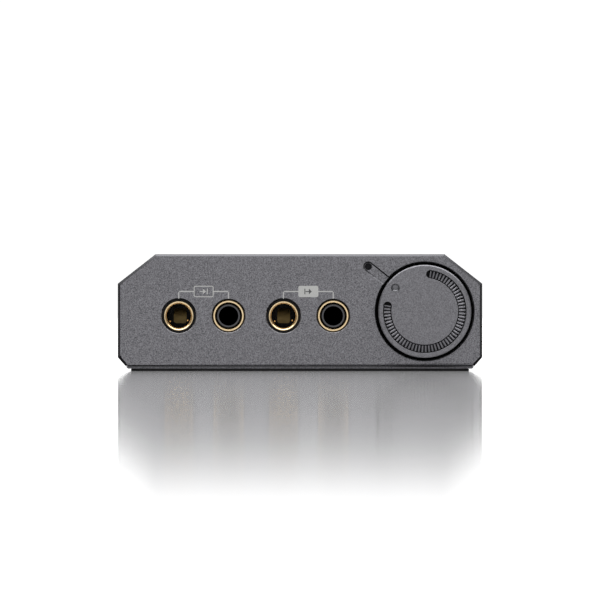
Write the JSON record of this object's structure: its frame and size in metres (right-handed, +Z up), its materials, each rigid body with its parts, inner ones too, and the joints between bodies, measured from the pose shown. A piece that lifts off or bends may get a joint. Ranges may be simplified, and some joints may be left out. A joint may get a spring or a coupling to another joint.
{
  "type": "headphone amplifier",
  "caption": "Flat portable headphone amplifier with chamfered corners, balanced and single-ended jacks for input and output, and a recessed volume knob in the same end panel.",
  "frame": {"origin": "middle of the underside of the rubber pad", "axes": "+Z up out of the top face, -Y out of the panel with the knob and the jacks, +X to that panel's right as it is looked at"},
  "size_m": [0.0676, 0.1518, 0.0217],
  "materials": {
    "anodised_aluminium": "bead-blasted and anodised gunmetal grey",
    "gold_plate": "polished gold plating",
    "steel": "plain zinc-plated steel",
    "tinned_steel": "tin-plated sheet",
    "black_plastic": "moulded, satin",
    "rubber": "matte black",
    "board": "solder mask on glass fibre",
    "cell_foil": "laminated foil pouch",
    "foam": "closed-cell foam",
    "smoked_lens": "smoked light pipe",
    "clear_plastic": "clear or natural plastic",
    "red_insulation": "soft insulation"
  },
  "bodies": {
    "casing": {"housing": "anodised_aluminium", "front_panel": "anodised_aluminium", "rear_panel": "anodised_aluminium", "base_plate": "anodised_aluminium", "base_pad": "rubber", "base_screw_1": "steel", "base_screw_2": "steel", "base_screw_3": "steel", "base_screw_4": "steel", "base_screw_5": "steel", "base_screw_6": "steel", "board_screw_1": "steel", "board_screw_2": "steel", "board_screw_3": "steel", "board_screw_4": "steel", "main_board": "board", "input_balanced_jack": "black_plastic", "input_balanced_sleeve": "gold_plate", "input_balanced_contact": "gold_plate", "input_single_jack": "black_plastic", "input_single_collar": "gold_plate", "output_balanced_jack": "black_plastic", "output_balanced_sleeve": "gold_plate", "output_balanced_contact": "gold_plate", "output_single_jack": "black_plastic", "output_single_collar": "gold_plate", "volume_potentiometer": "tinned_steel", "volume_washer": "steel", "volume_nut": "steel", "status_light_pipe": "smoked_lens", "status_led": "clear_plastic", "gain_switch": "tinned_steel", "bias_switch": "tinned_steel", "crossfeed_switch": "tinned_steel", "power_switch": "black_plastic", "usb_shell": "tinned_steel", "usb_tongue": "black_plastic", "charge_light_pipe": "smoked_lens", "charge_led": "clear_plastic", "amplifier_shield": "tinned_steel", "amplifier_chip_left": "black_plastic", "amplifier_chip_right": "black_plastic", "filter_capacitor_1": "tinned_steel", "filter_capacitor_2": "tinned_steel", "filter_capacitor_3": "tinned_steel", "filter_capacitor_4": "tinned_steel", "power_inductor": "black_plastic", "battery": "cell_foil", "battery_cradle": "black_plastic", "battery_foam": "foam", "battery_socket": "black_plastic", "battery_plug": "clear_plastic", "battery_lead_positive": "red_insulation", "battery_lead_negative": "rubber"},
    "volume": {"volume_knob": "anodised_aluminium", "volume_shaft": "steel"},
    "gain": {"gain_slider": "anodised_aluminium"},
    "bias": {"bias_slider": "anodised_aluminium"},
    "crossfeed": {"crossfeed_slider": "anodised_aluminium"},
    "power": {"power_button": "anodised_aluminium"}
  },
  "joints": [
    {"name": "volume_turn", "type": "hinge", "parent": "casing", "child": "volume", "pos_m": [0.02315, -0.075, 0.0111], "axis": [0, 1, 0], "range_deg": [0, 300]},
    {"name": "gain_slide", "type": "slide", "parent": "casing", "child": "gain", "axis": [0, -1, 0], "range_m": [0, 0.002]},
    {"name": "bias_slide", "type": "slide", "parent": "casing", "child": "bias", "axis": [0, -1, 0], "range_m": [-0.002, 0.002]},
    {"name": "crossfeed_slide", "type": "slide", "parent": "casing", "child": "crossfeed", "axis": [0, -1, 0], "range_m": [0, 0.002]},
    {"name": "power_press", "type": "slide", "parent": "casing", "child": "power", "axis": [0, -1, 0], "range_m": [0, 0.0004], "stiffness_N_per_m": 1500, "springref_m": -0.0006}
  ]
}
